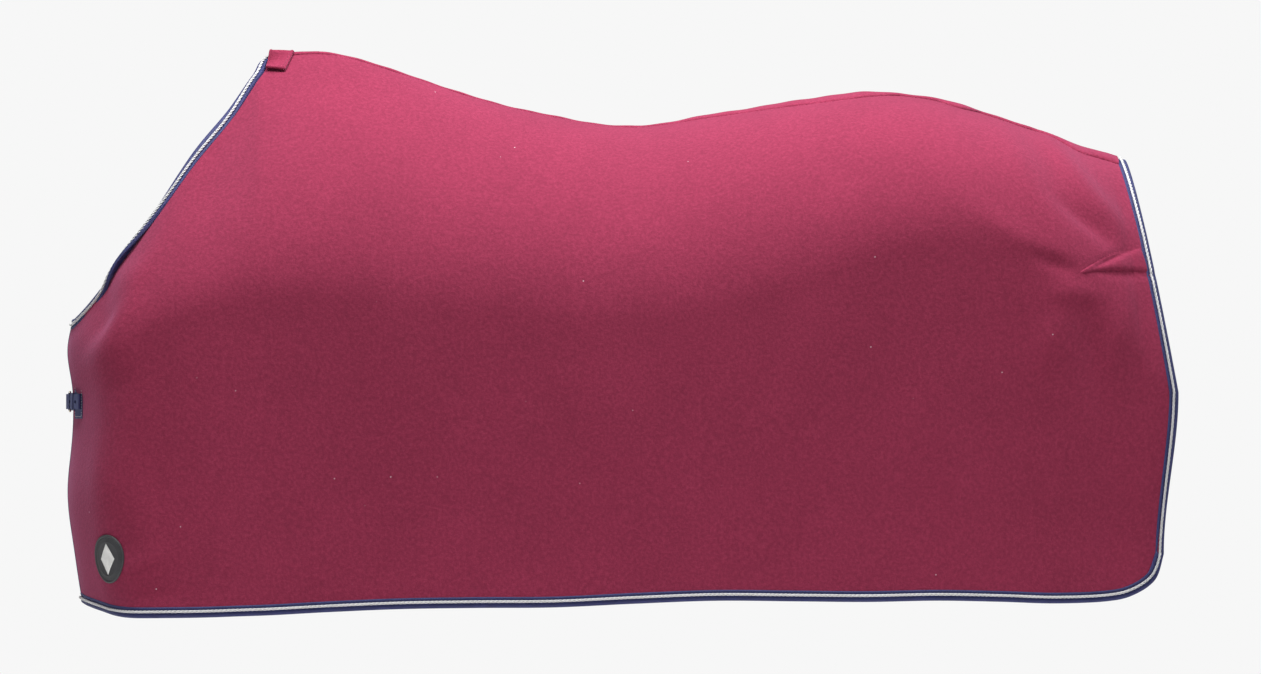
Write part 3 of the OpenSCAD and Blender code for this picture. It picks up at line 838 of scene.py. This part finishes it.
def patch_place(a, b, raised=0.0):
    u = WITHERS + 0.001 + 0.43 * a
    half = (30 + 16 * a) * MM
    across = half * (2 * b - 1)
    v = row_down(u, np.abs(across))
    v = np.where(across < 0, -v, v)
    rim = np.minimum(np.minimum(a, 1 - a) * 42, np.minimum(b, 1 - b) * 80) * MM
    border = np.exp(-(((rim - 3.2 * MM) / (2.2 * MM)) ** 2)) * 1.6 * MM
    edge = np.clip(rim / (1.2 * MM), 0, 1)
    crest = (10 * (1 - a) + 2) * MM * np.exp(-((across / 0.013) ** 2))
    lift = 3.8 * MM + 2.6 * MM * (1 - a) + border + crest - (1 - edge) ** 2 * 2.2 * MM + raised
    lift = lift + 0.5 * MM * np.sin(across * 160 + 2 * a) * (1 - a)
    spot = laid_over(u, v, lift)
    spot[..., 0] += 0.004 - PATCH_LEAN * np.abs(across)
    return spot


bm = bent_grid(40, 84, patch_place)
bmesh.ops.reverse_faces(bm, faces=bm.faces)
thick(bm, 2.6 * MM)
withers_patch = piece("withers_patch", bm, band_fleece)
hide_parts("wither_patch")


def row_on(place, a, b, raised):
    """Points, run and outward directions along a line of a laid piece."""
    points = place(a, b)
    run = np.gradient(points, axis=0)
    run = unit(run)
    out = unit(place(a, b, raised) - points)
    return points, run, out


bm = bmesh.new()
line = np.linspace(0.09, 0.91, 60)
for a, b in (
    (np.full(60, 0.88), line),
    (np.full(60, 0.12), line),
    (line, np.full(60, 0.06)),
    (line, np.full(60, 0.94)),
):
    points, run, out = row_on(patch_place, a, b, 0.001)
    stitch_row(bm, points, run, out, 2.6 * MM, 0.5 * MM, 1.1 * MM)
patch_stitches = piece("withers_patch_stitches", bm, fleece_thread)


# The hip wedges: let in between two seams, plump between them
def wedge_edges(t):
    """x and the heights of the lower and upper seam, from the tip to the rear edge."""
    x = MM * (752 + 112 * t)
    upper = MM * (-240 + 44 * np.sin(np.minimum(1, t) * math.pi / 2))
    lower = MM * (-240 + 5 * np.sin(np.minimum(1, t) * math.pi))
    return x, lower, upper


def wedge_place(side):
    face, out_of = SIDES[side]

    def place(a, b, raised=0.0):
        x, lower, upper = wedge_edges(0.02 + 0.98 * a)
        z = lower + (upper - lower) * b
        x = x + 0.0132 * (0.5 - b) * a
        u, v = place_at(x, z)
        swell = (1 - np.abs(2 * b - 1) ** 3.2) * np.clip(a * 9, 0, 1)
        lift = -2.4 * MM + 3.9 * MM * swell + raised
        lift = lift + 0.35 * MM * np.sin(x * 420 + 3 * b) * (1 - np.abs(2 * b - 1)) * np.clip(a * 3, 0, 1)
        return face(u, v) + out_of(u, v) * lift[..., None]

    return place


for side in SIDES:
    bm = bent_grid(64, 24, wedge_place(side))
    if side == "near":
        bmesh.ops.reverse_faces(bm, faces=bm.faces)
    thick(bm, 1.2 * MM)
    made = piece(side + "_wedge", bm, side_fleece)
    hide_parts(side + "_hip_gusset")
    trim_pieces[side].append(made)


# The badge: a soft moulded plate with a raised rim and a plain diamond, bent with the cloth
BADGE_U = 3.12
BADGE_V = float(row_at(np.array([BADGE_U]), np.array([-0.710]))[0])


def on_badge(across, up, lift):
    """A place near the badge's middle, in metres across and up the cloth."""
    step = 0.01
    u = np.full(2, BADGE_U) + [step, -step]
    v = np.full(2, BADGE_V)
    wide = np.linalg.norm(np.diff(pattern(u, v), axis=0)) / (2 * step)
    u = np.full(2, BADGE_U)
    v = np.full(2, BADGE_V) + [step, -step]
    tall = np.linalg.norm(np.diff(pattern(u, v), axis=0)) / (2 * step)
    u = BADGE_U + across / wide
    v = BADGE_V - up / tall
    return near_cloth(u, v) + near_facing(u, v) * lift[..., None]


def round_plate(name, section, material, around=96):
    """A round piece on the cloth from a section of [radius, height] in millimetres."""
    section = np.array(section, float) * MM

    def place(a, b):
        k = a * (len(section) - 1)
        radius, lift = (np.interp(k, np.arange(len(section)), section[:, n]) for n in (0, 1))
        angle = -2 * math.pi * b
        return on_badge(radius * np.cos(angle), radius * np.sin(angle), lift)

    bm = bent_grid(len(section) - 1, around, place)
    bmesh.ops.remove_doubles(bm, verts=bm.verts, dist=2e-6)
    bmesh.ops.holes_fill(bm, edges=[edge for edge in bm.edges if edge.is_boundary])
    bmesh.ops.recalc_face_normals(bm, faces=bm.faces)
    return piece(name, bm, material)


badge_plate = round_plate("badge_plate", [
    [0, 2.1], [10, 2.1], [20, 2.1], [27, 2.1], [27.4, 2.2], [27.7, 2.5], [28.6, 2.5], [28.9, 2.2],
    [29.3, 2.1], [33, 2.1], [35, 2.1], [35.8, 2.0], [35.9, 0.2], [20, 0.1], [0, 0.1],
], badge_plastic)
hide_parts("badge_disc")
badge_rim = round_plate("badge_raised_rim", [
    [35.8, 0.1], [35.9, 2.4], [36.3, 3.0], [37.0, 3.35], [38.0, 3.4], [39.0, 3.2], [39.7, 2.6],
    [40.0, 1.6], [40.0, 0.3], [39.4, -0.3], [37, -0.2], [35.9, 0.0], [35.8, 0.1],
], badge_plastic)
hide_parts("badge_rim")


def diamond_place(a, b):
    across = (a - b) * 10 * MM * 2 * 0.95
    up = (a + b - 1) * 13.6 * MM * 2 * 0.95
    rim = np.minimum(np.minimum(a, 1 - a), np.minimum(b, 1 - b)) * 17
    lift = MM * (2.0 + 0.85 * np.clip(rim / 0.8, 0, 1) ** 0.5)
    return on_badge(across, up, lift)


bm = bent_grid(16, 16, diamond_place)
bmesh.ops.reverse_faces(bm, faces=bm.faces)
thick(bm, 0.3 * MM)
badge_diamond = piece("badge_emblem", bm, badge_pale)
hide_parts("badge_diamond")

bm = bmesh.new()
turn_line = np.linspace(0, 2 * math.pi, 120)
rim_points = on_badge(33.9 * MM * np.cos(turn_line), 33.9 * MM * np.sin(turn_line), np.full(120, 2.15 * MM))
rim_top = 33.9 * MM * np.stack([np.cos(turn_line), np.sin(turn_line)])
rim_out = unit(on_badge(rim_top[0], rim_top[1], np.full(120, 3.15 * MM)) - rim_points)
stitch_row(bm, rim_points, unit(np.gradient(rim_points, axis=0)), rim_out, 2.4 * MM, 0.5 * MM, 1.0 * MM)
badge_stitches = piece("badge_stitches", bm, twist("grey_thread", (0.06, 0.06, 0.065)))


# Webbing: straps and loops keep the frame's shape, with softened edges and box stitching
WEBBING_EDGE = 0.4 * MM


def softened(name, node, material, body):
    """A copy of a node with its sharp edges rounded."""
    bm = bmesh.new()
    bm.from_mesh(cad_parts[node].data)
    bmesh.ops.remove_doubles(bm, verts=bm.verts, dist=2e-6)
    bmesh.ops.dissolve_limit(bm, angle_limit=math.radians(0.25), verts=bm.verts, edges=bm.edges)
    sharp = [e for e in bm.edges if e.is_manifold and e.calc_face_angle(0) > math.radians(45)]
    bmesh.ops.bevel(
        bm,
        geom=sharp,
        offset=WEBBING_EDGE,
        segments=2,
        profile=0.5,
        affect="EDGES",
        material=-1,
        clamp_overlap=True,
    )
    made = piece(name, bm, material, body, smooth=False)
    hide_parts(node)
    return made


webbing = {
    name: softened(name, node, strap_webbing, body)
    for name, node, body in (
        ("chest_tab", "near_tab_backing", "rug"),
        ("off_chest_tab", "off_strap_backing", "rug"),
        ("buckle_webbing", "near_buckle_loop", "rug"),
        ("chest_strap", "billet_strap", "rug"),
        ("keeper_loop", "fixed_keeper", "rug"),
        ("sliding_keeper_loop", "sliding_keeper", "sliding_keeper"),
        ("near_tail_webbing", "near_tail_loop", "rug"),
        ("off_tail_webbing", "off_tail_loop", "rug"),
    )
}

STRAP_Z = -0.451


def chest_line(y, z, out):
    """Points on the chest, out in front of the cloth, with the run and outward directions."""
    y, z = np.broadcast_arrays(np.asarray(y, float), np.asarray(z, float))
    lean = y / CHEST_ROUND
    points = MM * np.stack([chest(y) - out, y, z], -1)
    way = unit(np.stack([-np.ones_like(lean), lean, np.zeros_like(lean)], -1))
    return points, unit(np.gradient(points, axis=0)), way


def box_stitches(name, y_from, y_to, half, out, cross, thread):
    bm = bmesh.new()
    z = STRAP_Z / MM
    ys = np.linspace(y_from, y_to, 24)
    zs = np.linspace(z - half, z + half, 24)
    lines = [(ys, z - half), (ys, z + half), (y_from, zs), (y_to, zs)]
    if cross:
        lines += [(ys, zs), (ys, zs[::-1])]
    for y, up in lines:
        points, run, way = chest_line(y, up, out)
        stitch_row(bm, points, run, way, 2.8 * MM, 0.8 * MM, 1.3 * MM)
    made = piece(name, bm, thread)
    return made


chest_stitches = [
    box_stitches("chest_tab_stitches", -64, -116, 24.5, 1.75, False, white_thread),
    box_stitches("off_chest_tab_stitches", 64, 116, 24.5, 1.75, False, white_thread),
    box_stitches("chest_strap_stitches", 66, 108, 9.5, 3.85, True, white_thread),
]

for node in ("buckle_frame", "buckle_prong", "buckle_roller", "near_tail_ring", "off_tail_ring"):
    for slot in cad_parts[node].material_slots:
        slot.material = buckle_plating


# The pieces sewn on the near side, gathered in one list
near_with = trim_pieces["near"] + [
    spine_band, withers_patch, patch_stitches, badge_plate, badge_rim, badge_diamond, badge_stitches
]
near_webbing = ("chest_tab", "buckle_webbing", "keeper_loop", "near_tail_webbing")
near_with += [webbing[name] for name in near_webbing] + chest_stitches[:1]


# Soft studio light: a wide source overhead, weaker ones in front and behind
def lamp(name, place, aim, size, power):
    data = bpy.data.lights.new(name, "AREA")
    data.shape = "RECTANGLE"
    data.size, data.size_y = size
    data.energy = power
    made = bpy.data.objects.new(name, data)
    bpy.context.collection.objects.link(made)
    made.location = place
    made.rotation_euler = (Vector(aim) - Vector(place)).to_track_quat("-Z", "Y").to_euler()


lamp("overhead", (0.1, -0.75, 2.6), (0.1, -0.2, -0.2), (4.2, 1.2), 260)
lamp("front_fill", (0, -7, 0.2), (0, 0, -0.4), (6, 2.5), 26)
lamp("back_fill", (0, 7, 0.4), (0, 0, -0.4), (6, 2.5), 60)
world = bpy.data.worlds.new("studio")
bpy.context.scene.world = world
world.use_nodes = True
sky = world.node_tree
sky.nodes["Background"].inputs["Strength"].default_value = 0.13
backdrop = sky.nodes.new("ShaderNodeBackground")
backdrop.inputs["Color"].default_value = (0.93, 0.93, 0.93, 1)
seen = sky.nodes.new("ShaderNodeLightPath")
chosen = sky.nodes.new("ShaderNodeMixShader")
sky.nodes["Background"].inputs["Color"].default_value = (1, 1, 1, 1)
sky.links.new(seen.outputs["Is Camera Ray"], chosen.inputs["Fac"])
sky.links.new(sky.nodes["Background"].outputs["Background"], chosen.inputs[1])
sky.links.new(backdrop.outputs["Background"], chosen.inputs[2])
sky.links.new(chosen.outputs["Shader"], sky.nodes["World Output"].inputs["Surface"])
bpy.context.scene.view_settings.view_transform = "Standard"

FLOOR_Z = -1.25
floor_mesh = bmesh.new()
bmesh.ops.create_grid(floor_mesh, x_segments=1, y_segments=1, size=12)
bmesh.ops.translate(floor_mesh, verts=floor_mesh.verts, vec=(0, 0, FLOOR_Z))
floor_data = bpy.data.meshes.new("floor")
floor_mesh.to_mesh(floor_data)
floor_mesh.free()
floor_paint = Paint("pale_floor", (0.86, 0.86, 0.86), 0.8)
floor_paint.set(Emission_Color=(0.93, 0.93, 0.93, 1), Emission_Strength=0.07)
floor_data.materials.append(floor_paint.material)
floor = bpy.data.objects.new("floor", floor_data)
bpy.context.collection.objects.link(floor)
